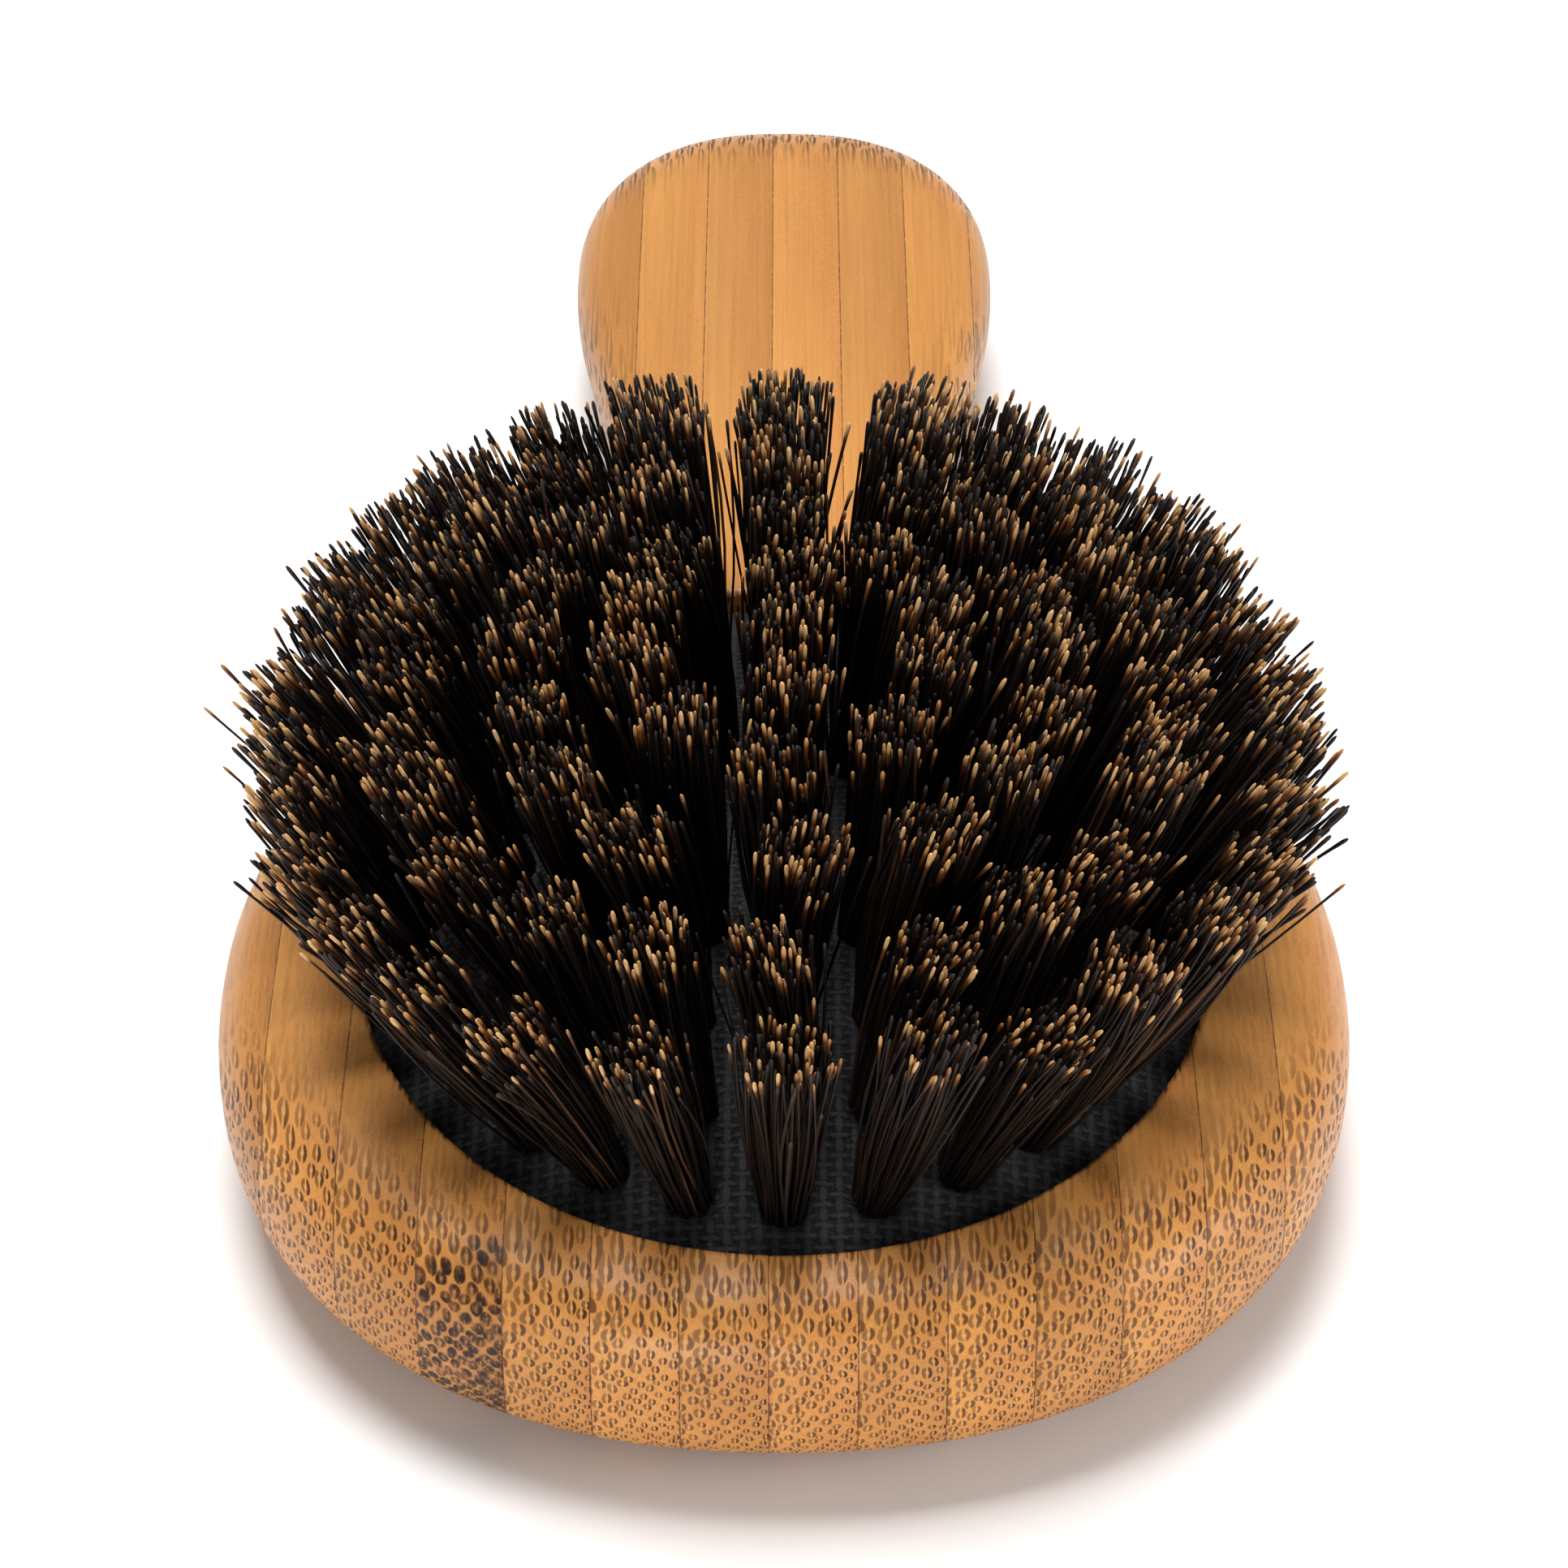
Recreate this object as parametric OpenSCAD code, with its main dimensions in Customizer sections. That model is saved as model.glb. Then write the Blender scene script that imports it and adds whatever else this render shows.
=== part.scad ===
// Beard brush: a laminated bamboo back, an air-cushioned pad and rings of bristle tufts.
// It lies on its back. The origin is the middle of the flat face under the head,
// +Y runs along the handle and +Z points up, the way the bristles stand.

/* [Wood back] */
// Thickness of one bamboo stave, side to side
stave_w = 5; // [4.5:0.1:6]
// Where the stave boundaries fall, as a shift from the middle plane
stave_shift = -0.85; // [-1:0.05:-0.7]
// Half the width of the head
head_half_w = 34.7; // [34.5:0.1:35.5]
// Length of the head in front of its widest point
head_front = 35.85; // [35.5:0.1:37]
// Length the head's rear curve would have if the neck did not leave it
head_rear = 36; // [35:0.5:37]
// How square the head's outline is
head_square = 2.2; // [2.1:0.05:2.4]
// Height of the widest line above the resting face
girth_z = 8; // [7:0.5:9]
// Rise from the widest line to the top of the rim
rim_rise = 6.15; // [6:0.05:6.6]

/* [Neck and handle] */
// Place along the brush where the neck starts to leave the head
neck_start = 24; // [20:1:26]
// Place along the brush of the narrowest part of the neck
neck_y = 54; // [52:1:58]
// Half the width of the neck
neck_half_w = 11.4; // [11.2:0.1:12]
// Place along the brush of the widest part of the handle
grip_y = 88; // [86:1:90]
// Half the width of the handle
grip_half_w = 15.8; // [15:0.1:15.8]
// Length of the rounded handle end behind its widest point
grip_end = 20.5; // [18:0.5:24]
// How square the handle's end is
grip_square = 2.4; // [2.1:0.05:2.6]

/* [Cushion] */
// Half the width of the opening for the cushion
pad_half_w = 26.1; // [25.5:0.1:26.5]
// Length of the opening in front of its widest point
pad_front = 30.65; // [30:0.05:31]
// Length of the opening behind its widest point
pad_rear = 36.5; // [35:0.5:37]
// Place of the opening's widest point along the brush
pad_y = 1.0; // [0.5:0.1:1.5]
// Height of the cushion's crown above the rim
crown = 4.15; // [3.5:0.05:5]
// Depth of the cushion's edge under the rim
edge_drop = 1.55; // [1.2:0.05:2]
// Thickness of the cloth facing
cloth_t = 0.4; // [0.3:0.05:0.6]
// Thickness of the rubber under the cloth
rubber_t = 1.6; // [1.4:0.1:2]
// Depth of the groove that holds the cushion's edge
groove_d = 1.2; // [0.8:0.1:1.5]

/* [Bristles] */
// Length of a tuft above the cushion
tuft_l = 17.8; // [16:0.1:20]
// Radius of a tuft where it leaves the cushion
tuft_r = 1.45; // [1.3:0.05:1.5]
// Radius of a tuft near its tips
tip_r = 2.7; // [2:0.1:2.7]
// Distance from one ring of tufts to the next, along the brush
step_along = 5.9; // [5.8:0.05:6]
// Distance from one ring of tufts to the next, across the brush
step_across = 5.3; // [5.2:0.05:5.4]
// Distance from the outer ring of tufts to the cushion's edge
ring_margin = 4.14; // [4.1:0.02:4.4]
// Outward lean of the outer ring at its sides, in degrees
lean_side = 31; // [25:1:33]
// Outward lean of the outer ring at its front, in degrees
lean_front = 20; // [16:1:24]
// Outward lean of the outer ring at its rear, in degrees
lean_rear = 25; // [18:1:28]
// How far the bristles can be pressed into the cushion
travel = 2.5; // [1:0.1:2.5]

/* [Hidden] */

// Exponent of the rounded rim profile
ROUND = 2.5;
// Half the height of the narrow band left along the widest line
BAND = 0.12;
// Narrowest tip that a stave tapers to
TIP = 0.2;
// Stave boundaries run from the first to the last one inside the head
FIRST_CUT = -6;
LAST_CUT = 6;
// The stave boundary outside which a strip is left on the handle's right side
STRIP_CUT = 3;
// How far the middle stave stops short of the outline's two ends
END_TRIM = 0.02;
// Stations along a short stave, a long stave and the edge strip
STEPS_SHORT = 22;
STEPS_LONG = 34;
STEPS_STRIP = 14;
// Facets across a stave: flat ones, the strip, and the steep ones at the head's two sides
ACROSS_FLAT = 4;
ACROSS_STRIP = 3;
ACROSS_STEEP = 6;
steep_w = head_half_w - 6;
rim_z = girth_z + rim_rise;
crown_z = rim_z + crown;
end_y = grip_y + grip_end;
// Height of the cushion's edge, where its face meets the opening, and the rise of its face
edge_z = rim_z - edge_drop;
sag = crown + edge_drop;
// The cushion's face is domed about the middle of the opening, with one radius each way
dome_y = pad_y + (pad_rear - pad_front) / 2;
face_r_across = arc_radius(pad_half_w, sag);
face_r_along = arc_radius((pad_front + pad_rear) / 2, sag);
// Glue line between the cloth and the rubber
glue_t = 0.06;
// The groove starts this far under the cloth, and the rubber's bead reaches this far into the opening
groove_land = 0.2;
bead_w = 0.8;
groove_top = edge_z - cloth_t - groove_land;
groove_bottom = groove_top - rubber_t;
// Tie wire: radius, depth under the rubber, length, and the length of its slot through the tuft
wire_r = 0.25;
wire_drop = 0.5;
wire_l = 4.2;
slot_l = 6;
// Length of a tuft below the cushion's face, and the gap round it in its hole
root_l = cloth_t + rubber_t + 1.0;
hole_gap = 0.04;
// Half the length of a drilled hole, which passes right through the cushion
hole_reach = 6;
// Vent for the air chamber: radius, and place behind the middle of the dome
vent_r = 0.5;
vent_y = 3;
// Floor of the air chamber: the deepest tie wire stops above it when the bristles are pressed in
chamber_gap = 3.1;
chamber_z = edge_z - rubber_t - travel - chamber_gap;
// The rings of tufts: number of tufts in each, outermost first
RING_COUNT = [30, 24, 16, 10];
CENTRE_COUNT = 3;
BAMBOO = [[0.80, 0.60, 0.36], [0.74, 0.53, 0.30], [0.84, 0.65, 0.41]];

// Radius of an arc that rises by h over half its chord c
function arc_radius(c, h) = (c*c + h*h) / (2*h);

// ---- Outline of the wood back, seen from above ----

// Height of a superellipse of half-length a and half-height b at x
function arc_h(x, a, b, n) = b * pow(max(0, 1 - pow(min(1, abs(x) / a), n)), 1 / n);

// Cubic that leaves (0, h0) with slope s0 and reaches (run, h1) level
function ease(t, run, h0, s0, h1) = let (u = t / run)
    h0 * (2*u*u*u - 3*u*u + 1) + s0 * run * (u*u*u - 2*u*u + u) + h1 * (3*u*u - 2*u*u*u);

neck_w0 = arc_h(neck_start, head_rear, head_half_w, head_square);
neck_s0 = (arc_h(neck_start + 0.01, head_rear, head_half_w, head_square) - neck_w0) / 0.01;

// Half the width of the wood at y
function half_w(y) =
    y <= 0 ? arc_h(y, head_front, head_half_w, head_square) :
    y <= neck_start ? arc_h(y, head_rear, head_half_w, head_square) :
    y <= neck_y ? ease(y - neck_start, neck_y - neck_start, neck_w0, neck_s0, neck_half_w) :
    y <= grip_y ? ease(y - neck_y, grip_y - neck_y, neck_half_w, 0, grip_half_w) :
    arc_h(y - grip_y, grip_end, grip_half_w, grip_square);

// Distance in from a superellipse's outline, to first order
function in_arc(x, y, a, b, n) =
    let (px = abs(x) / a, py = abs(y) / b, f = pow(pow(px, n) + pow(py, n), 1 / n))
    f < 0.05 ? min(a, b) :
    let (k = pow(f, 1 - n), gx = k * pow(px, n - 1) / a, gy = k * pow(py, n - 1) / b)
    (1 - f) / sqrt(gx*gx + gy*gy);

// Distance in from a side whose half-width varies with y
function in_side(x, y) = let (slope = (half_w(y + 0.05) - half_w(y - 0.05)) / 0.1)
    (half_w(y) - abs(x)) / sqrt(1 + slope*slope);

// Distance in from the outline of the whole back
function inset(x, y) = max(0,
    y <= 0 ? in_arc(x, y, head_half_w, head_front, head_square) :
    y <= neck_start ? in_arc(x, y, head_half_w, head_rear, head_square) :
    y <= grip_y ? in_side(x, y) :
    in_arc(x, y - grip_y, grip_half_w, grip_end, grip_square));

// ---- Upper and lower faces of the wood back ----

// Rounded edge: 0 at the outline, 1 once u reaches 1
function edge(u) = pow(1 - pow(1 - min(1, u), ROUND), 1 / ROUND);
// Distance over which the upper edge is rounded, and its rise, along the brush
function upper_run(y) = lookup(y,
    [[-head_front, 6], [-18, 7.6], [0, 8.8], [30, 9.2], [neck_y, 11], [grip_y, 15]]);
function upper_rise(y) = lookup(y, [[30, rim_rise], [neck_y, rim_rise - 0.5], [grip_y, rim_rise - 0.65]]);
// The same for the underside, which is rounder
function lower_run(y) = lookup(y, [[-20, 12], [30, 13], [neck_y, 11], [grip_y, 15]]);
function lower_rise(y) = lookup(y, [[30, girth_z], [neck_y, girth_z - 1.2], [grip_y, girth_z - 1.8]]);
function upper_z(x, y) = girth_z + BAND + (upper_rise(y) - BAND) * edge(inset(x, y) / upper_run(y));
function lower_z(x, y) = girth_z - BAND - (lower_rise(y) - BAND) * edge(inset(x, y) / lower_run(y));

// ---- One stave ----

// y between y0 and y1 at which the half-width is w; the width is over w at y0 and under it at y1
function y_at(w, y0, y1, left = 26) = let (m = (y0 + y1) / 2)
    left == 0 ? m : half_w(m) > w ? y_at(w, m, y1, left - 1) : y_at(w, y0, m, left - 1);

// y between y0 and y1 at which the half-width is w; the width is under w at y0 and over it at y1
function y_at_rising(w, y0, y1, left = 26) = let (m = (y0 + y1) / 2)
    left == 0 ? m : half_w(m) < w ? y_at_rising(w, m, y1, left - 1) : y_at_rising(w, y0, m, left - 1);

// Distance in front of the widest line at which the head is w wide
function y_front(w) = arc_h(w, head_half_w, head_front, head_square);

// Section of a stave at y, as a closed ring of points
function stave_ring(x0, x1, y, n) =
    let (w = half_w(y), a = max(x0, -w), b = min(x1, w))
    concat([for (i = [0:n]) let (x = a + (b - a) * i / n) [x, y, upper_z(x, y)]],
           [for (i = [n:-1:0]) let (x = a + (b - a) * i / n) [x, y, lower_z(x, y)]]);

// A stave between x0 and x1, from y0 to y1, with its stations closer together at its ends
module stave_blank(x0, x1, y0, y1, steps, n) {
    m = 2 * (n + 1);
    ys = [for (j = [0:steps]) y0 + (y1 - y0) * (1 - cos(180 * j / steps)) / 2];
    points = [for (y = ys) each stave_ring(x0, x1, y, n)];
    sides = [for (j = [0:steps - 1], i = [0:m - 1]) let (p = j*m + i, q = j*m + (i + 1) % m)
        each [[p, p + m, q], [q, p + m, q + m]]];
    front = [for (i = [0:n - 1]) each [[i, i + 1, m - 1 - i], [i + 1, m - 2 - i, m - 1 - i]]];
    back = [for (f = front) [for (i = [2:-1:0]) f[i] + steps * m]];
    polyhedron(points, concat(sides, front, back), convexity = 6);
}

// Point at angle t, from the front, on an egg-shaped oval with a longer rear; from its widest point
function on_oval(a, front, rear, t) = [a * sin(t), -(cos(t) > 0 ? front : rear) * cos(t)];

// The opening seen from above, grown by d
module oval(d) {
    translate([0, pad_y])
        polygon([for (i = [0:71]) on_oval(pad_half_w + d, pad_front + d, pad_rear + d, 5 * i)]);
}

module slab(z0, z1, d) {
    translate([0, 0, z0]) linear_extrude(z1 - z0) oval(d);
}

// The well for the cushion: an air chamber, a groove for the cushion's edge and the opening
module well() {
    slab(chamber_z, rim_z + 5, 0);
    slab(groove_bottom, groove_top, groove_d);
}

// Stave k counts from the left edge of the head, from 1
module stave(k) {
    cuts = LAST_CUT - FIRST_CUT + 1;
    x0 = k == 1 ? -head_half_w - 1 : stave_shift + stave_w * (FIRST_CUT + k - 2);
    x1 = k == cuts + 1 ? head_half_w + 1 : stave_shift + stave_w * (FIRST_CUT + k - 1);
    inner = x0 < 0 && x1 > 0 ? 0 : min(abs(x0), abs(x1));
    through = inner < neck_half_w;
    y0 = inner == 0 ? -head_front + END_TRIM : -y_front(inner + TIP);
    y1 = inner == 0 ? end_y - END_TRIM :
        through ? y_at(inner + TIP, grip_y, end_y) :
        y_at(inner + TIP, 0, neck_y);
    steps = through ? STEPS_LONG : STEPS_SHORT;
    color(BAMBOO[k % 3])
    difference() {
        stave_blank(x0, x1, y0, y1, steps, inner > steep_w ? ACROSS_STEEP : ACROSS_FLAT);
        well();
    }
}

// The outermost stave's remnant on the handle's right side, cut off from its head part by the neck
module grip_edge_strip() {
    x0 = stave_shift + stave_w * STRIP_CUT;
    y0 = y_at_rising(x0 + TIP, neck_y, grip_y);
    y1 = y_at(x0 + TIP, grip_y, end_y);
    color(BAMBOO[2])
    stave_blank(x0, grip_half_w + 1, y0, y1, STEPS_STRIP, ACROSS_STRIP);
}

// ---- Cushion ----

// Solid under the cushion's face, sunk by d: a disc about a crosswise axis with a crowned rim
module under_face(d) {
    translate([0, dome_y, crown_z - face_r_along]) rotate([0, 90, 0])
        rotate_extrude($fn = 180) intersection() {
            translate([face_r_along - face_r_across, 0]) circle(r = face_r_across - d, $fn = 180);
            translate([0, -40]) square([face_r_along + 1, 80]);
        }
}

// A layer of the cushion between two depths, inside the opening
module layer(d0, d1) {
    difference() {
        intersection() {
            slab(groove_bottom, crown_z + 1, 0);
            under_face(d0);
        }
        under_face(d1);
    }
}

module cushion_rubber() {
    color([0.10, 0.10, 0.11])
    difference() {
        union() {
            layer(cloth_t + glue_t, cloth_t + rubber_t);
            difference() {
                slab(groove_bottom, groove_top, groove_d);
                slab(groove_bottom - 1, groove_top + 1, -bead_w);
            }
        }
        tuft_holes();
    }
}

module cushion_cloth() {
    color([0.07, 0.07, 0.08])
    difference() {
        layer(0, cloth_t);
        tuft_holes();
    }
}

module tuft_holes() {
    for (t = all_tufts()) at_tuft(t)
        cylinder(r = tuft_r + hole_gap, h = 2 * hole_reach, center = true, $fn = 48);
    translate([0, dome_y + vent_y, crown_z])
        cylinder(r = vent_r, h = 2 * hole_reach, center = true, $fn = 48);
}

// ---- Tufts ----

// Table from length along an oval to angle
function oval_table(a, front, rear, t = 0, s = 0) = t >= 360 ? [[s, 360]] :
    concat([[s, t]], oval_table(a, front, rear, t + 3,
        s + norm(on_oval(a, front, rear, t + 3) - on_oval(a, front, rear, t))));

// Half the width of the outer ring of tufts
ring_a = pad_half_w - ring_margin;

// Foot of a tuft from the opening's widest point, and the slopes of its lean, across and along
function tuft_at(a, front, rear, t) =
    let (p = on_oval(a, front, rear, t), b = p[1] < 0 ? front : rear)
    let (n = [p[0] / (a*a), p[1] / (b*b)] / norm([p[0] / (a*a), p[1] / (b*b)]), share = a / ring_a)
    [p[0], p[1], share * tan(lean_side) * n[0], share * tan(p[1] < 0 ? lean_front : lean_rear) * n[1]];

// Tufts of ring i, evenly spaced along it and starting at the front
function ring_tufts(i) =
    let (a = ring_a - step_across * i, inward = ring_margin + step_along * i)
    let (front = pad_front - inward, rear = pad_rear - inward, table = oval_table(a, front, rear))
    let (total = table[len(table) - 1][0], n = RING_COUNT[i])
    [for (j = [0:n - 1]) tuft_at(a, front, rear, lookup(total * j / n, table))];

// The short row of upright tufts inside the inner ring
function centre_tufts() = let (first = ring_margin + step_along * len(RING_COUNT) - pad_front,
                               last = pad_rear - ring_margin - step_along * len(RING_COUNT))
    [for (j = [0:CENTRE_COUNT - 1]) [0, first + (last - first) * j / (CENTRE_COUNT - 1), 0, 0]];

function all_tufts() = [for (i = [0:len(RING_COUNT) - 1]) each ring_tufts(i), each centre_tufts()];

// Height of the cushion's face over a point given from the opening's widest point
function face_z(x, y) = let (r = face_r_along - face_r_across + sqrt(pow(face_r_across, 2) - x*x))
    crown_z - face_r_along + sqrt(r*r - pow(y + pad_y - dome_y, 2));

// Puts its children on the cushion's face at t, with +Z along the tuft
module at_tuft(t) {
    translate([t[0], t[1] + pad_y, face_z(t[0], t[1])])
        rotate([0, acos(1 / norm([t[2], t[3], 1])), atan2(t[3], t[2])])
            children();
}

// A tuft, folded over its tie wire at the bottom and spreading towards its tips
module tuft(t) {
    at_tuft(t) difference() {
        rotate_extrude($fn = 36)
            polygon([[0, -root_l], [tuft_r, -root_l], [tuft_r, 0.4], [tuft_r + 0.5, tuft_l * 0.3],
                     [tip_r - 0.3, tuft_l * 0.7], [tip_r, tuft_l - 1.2], [tip_r - 0.6, tuft_l - 0.3],
                     [0, tuft_l]]);
        tie_bar(slot_l);
    }
}

module tie_bar(length) {
    translate([0, 0, -cloth_t - rubber_t - wire_drop]) rotate([90, 0, 0])
        cylinder(r = wire_r, h = length, center = true, $fn = 24);
}

module tufts(list) {
    color([0.13, 0.10, 0.08]) for (t = list) tuft(t);
}

module tie_wires(list) {
    color([0.72, 0.72, 0.74]) for (t = list) at_tuft(t) tie_bar(wire_l);
}

stave(1);  // stave_01
stave(2);  // stave_02
stave(3);  // stave_03
stave(4);  // stave_04
stave(5);  // stave_05
stave(6);  // stave_06
stave(7);  // stave_07
stave(8);  // stave_08
stave(9);  // stave_09
stave(10);  // stave_10
stave(11);  // stave_11
stave(12);  // stave_12
stave(13);  // stave_13
stave(14);  // stave_14
grip_edge_strip();
cushion_rubber();
cushion_cloth();
tufts(ring_tufts(0));  // tuft_ring_outer
tufts(ring_tufts(1));  // tuft_ring_second
tufts(ring_tufts(2));  // tuft_ring_third
tufts(ring_tufts(3));  // tuft_ring_inner
tufts(centre_tufts());  // tuft_centre_row
tie_wires(ring_tufts(0));  // tie_wires_outer
tie_wires(ring_tufts(1));  // tie_wires_second
tie_wires(ring_tufts(2));  // tie_wires_third
tie_wires(ring_tufts(3));  // tie_wires_inner
tie_wires(centre_tufts());  // tie_wires_centre
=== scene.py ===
# Beard brush: bamboo staves, a cloth-faced air cushion and boar bristle tufts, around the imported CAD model.
import math

import bpy
import numpy as np
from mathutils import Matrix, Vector
from mathutils.geometry import delaunay_2d_cdt


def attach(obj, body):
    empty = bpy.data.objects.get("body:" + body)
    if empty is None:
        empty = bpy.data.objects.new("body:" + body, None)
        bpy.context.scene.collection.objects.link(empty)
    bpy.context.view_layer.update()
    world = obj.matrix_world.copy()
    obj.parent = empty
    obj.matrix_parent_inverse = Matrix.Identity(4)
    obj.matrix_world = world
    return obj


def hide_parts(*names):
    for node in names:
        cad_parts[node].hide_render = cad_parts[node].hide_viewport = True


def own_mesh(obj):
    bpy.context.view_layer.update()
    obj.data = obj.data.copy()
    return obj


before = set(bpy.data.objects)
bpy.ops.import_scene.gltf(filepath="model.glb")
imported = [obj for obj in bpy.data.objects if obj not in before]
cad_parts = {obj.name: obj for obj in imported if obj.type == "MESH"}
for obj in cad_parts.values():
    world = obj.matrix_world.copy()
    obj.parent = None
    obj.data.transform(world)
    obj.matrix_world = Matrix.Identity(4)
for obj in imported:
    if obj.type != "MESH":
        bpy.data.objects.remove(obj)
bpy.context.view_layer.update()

MM = 0.001

# ---- Sizes, in millimetres: the ones that part.scad drives its shapes from ----
STAVE_W, STAVE_SHIFT = 5.0, -0.85
HEAD_HALF_W, HEAD_FRONT, HEAD_REAR, HEAD_SQUARE = 34.7, 35.85, 36.0, 2.2
GIRTH_Z, RIM_RISE, ROUND, BAND = 8.0, 6.15, 2.5, 0.12
NECK_START, NECK_Y, NECK_HALF_W = 24.0, 54.0, 11.4
GRIP_Y, GRIP_HALF_W, GRIP_END, GRIP_SQUARE = 88.0, 15.8, 20.5, 2.4
PAD_HALF_W, PAD_FRONT, PAD_REAR, PAD_Y = 26.1, 30.65, 36.5, 1.0
CROWN, EDGE_DROP, CLOTH_T, RUBBER_T, TRAVEL = 4.15, 1.55, 0.4, 1.6, 2.5
CHAMBER_GAP = 3.1
TUFT_L, TUFT_R, TIP_R = 17.8, 1.45, 2.7
STEP_ALONG, STEP_ACROSS, RING_MARGIN = 5.9, 5.3, 4.14
RING_COUNT, CENTRE_COUNT = (30, 24, 16, 10), 3
LEAN_SIDE, LEAN_FRONT, LEAN_REAR = 31, 20, 25
RIM_Z = GIRTH_Z + RIM_RISE
CROWN_Z = RIM_Z + CROWN
END_Y = GRIP_Y + GRIP_END
EDGE_Z = RIM_Z - EDGE_DROP
CHAMBER_Z = EDGE_Z - RUBBER_T - TRAVEL - CHAMBER_GAP
SAG = CROWN + EDGE_DROP
PAD_MEAN_L = (PAD_FRONT + PAD_REAR) / 2
DOME_Y = PAD_Y + (PAD_REAR - PAD_FRONT) / 2
FACE_ACROSS = (PAD_HALF_W**2 + SAG**2) / (2 * SAG)
FACE_ALONG = (PAD_MEAN_L**2 + SAG**2) / (2 * SAG)
CUTS = [STAVE_SHIFT + STAVE_W * k for k in range(-6, 7)]

# At stations along y, how far in from the outline each face rounds over, and how far it rises or drops
BACK_Y = 30
UPPER_RUN = (-HEAD_FRONT, -18, 0, BACK_Y, NECK_Y, GRIP_Y), (6, 7.6, 8.8, 9.2, 11, 15)
UPPER_RISE = (BACK_Y, NECK_Y, GRIP_Y), (RIM_RISE, RIM_RISE - 0.5, RIM_RISE - 0.65)
LOWER_RUN = (-20, BACK_Y, NECK_Y, GRIP_Y), (12, 13, 11, 15)
LOWER_DROP = (BACK_Y, NECK_Y, GRIP_Y), (GIRTH_Z, GIRTH_Z - 1.2, GIRTH_Z - 1.8)
# The opening's edge is rounded over by this much, through this share of a quarter turn
LIP, LIP_TURN = 0.55, 0.98

# ---- Camera: above the front of the head, looking along the handle ----
VIEW_ELEVATION = math.radians(36)
VIEW_Y, VIEW_DISTANCE = 23.5, 318
LENS, SENSOR_W = 110.9, 36


def make_camera():
    cam = bpy.data.objects.new("camera", bpy.data.cameras.new("camera"))
    bpy.context.collection.objects.link(cam)
    target = Vector((0, VIEW_Y, GIRTH_Z)) * MM
    away = Vector((0, -math.cos(VIEW_ELEVATION), math.sin(VIEW_ELEVATION)))
    cam.location = target + away * VIEW_DISTANCE * MM
    cam.rotation_euler = (-away).to_track_quat("-Z", "Y").to_euler()
    cam.data.sensor_width = SENSOR_W
    cam.data.lens = LENS
    cam.data.clip_start = 0.01
    cam.data.dof.use_dof = False
    bpy.context.scene.camera = cam


make_camera()


# ---- Outline and faces of the wood, as in part.scad ----
def arc_h(x, a, b, n):
    """Height at x of a squarish arc, a wide and b high."""
    return b * np.maximum(0, 1 - np.minimum(1, np.abs(x) / a) ** n) ** (1 / n)


def ease(t, run, h0, s0, h1):
    """A smooth step from height h0 and slope s0 to height h1, level, over the run."""
    u = t / run
    rest = s0 * run * (u**3 - 2 * u**2 + u)
    return h0 * (2 * u**3 - 3 * u**2 + 1) + rest + h1 * (3 * u**2 - 2 * u**3)


TINY = 1e-9
SLOPE_STEP = 0.01
NECK_W0 = float(arc_h(NECK_START, HEAD_REAR, HEAD_HALF_W, HEAD_SQUARE))
NECK_W1 = float(arc_h(NECK_START + SLOPE_STEP, HEAD_REAR, HEAD_HALF_W, HEAD_SQUARE))
NECK_S0 = (NECK_W1 - NECK_W0) / SLOPE_STEP


def half_w(y):
    """Half the width of the wood at y."""
    y = np.asarray(y, float)
    return np.select(
        [y <= 0, y <= NECK_START, y <= NECK_Y, y <= GRIP_Y],
        [
            arc_h(y, HEAD_FRONT, HEAD_HALF_W, HEAD_SQUARE),
            arc_h(y, HEAD_REAR, HEAD_HALF_W, HEAD_SQUARE),
            ease(y - NECK_START, NECK_Y - NECK_START, NECK_W0, NECK_S0, NECK_HALF_W),
            ease(y - NECK_Y, GRIP_Y - NECK_Y, NECK_HALF_W, 0, GRIP_HALF_W),
        ],
        arc_h(y - GRIP_Y, GRIP_END, GRIP_HALF_W, GRIP_SQUARE),
    )


def in_arc(x, y, a, b, n):
    """Distance in from a squarish arc, to first order."""
    px, py = np.abs(x) / a + TINY, np.abs(y) / b + TINY
    f = (px**n + py**n) ** (1 / n)
    k = f ** (1 - n)
    slope = np.hypot(k * px ** (n - 1) / a, k * py ** (n - 1) / b)
    # The slope means nothing near the middle, where every way out is long
    return np.where(f < 0.05, min(a, b), (1 - f) / np.maximum(slope, TINY))


def inset(x, y):
    """Distance in from the outline."""
    step = 0.05
    slope = (half_w(y + step) - half_w(y - step)) / (2 * step)
    front = in_arc(x, y, HEAD_HALF_W, HEAD_FRONT, HEAD_SQUARE)
    rear = in_arc(x, y, HEAD_HALF_W, HEAD_REAR, HEAD_SQUARE)
    side = (half_w(y) - np.abs(x)) / np.sqrt(1 + slope**2)
    end = in_arc(x, y - GRIP_Y, GRIP_HALF_W, GRIP_END, GRIP_SQUARE)
    return np.maximum(0, np.select([y <= 0, y <= NECK_START, y <= GRIP_Y], [front, rear, side], end))


def edge(u):
    """A rounded edge's height, from 0 at the outline to 1 where its run ends."""
    return (1 - (1 - np.minimum(1, u)) ** ROUND) ** (1 / ROUND)


def pad_length(y):
    """Half-length of the opening on the side of its widest point that y is on, counted from there."""
    return np.where(y < 0, PAD_FRONT, PAD_REAR)


def oval_inset(x, y):
    """Distance outside the cushion's opening, to first order."""
    length = pad_length(y - PAD_Y)
    px, py = x / PAD_HALF_W, (y - PAD_Y) / length
    f = np.sqrt(px**2 + py**2) + TINY
    return (f - 1) / (np.hypot(px / PAD_HALF_W, py / length) / f)


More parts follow.
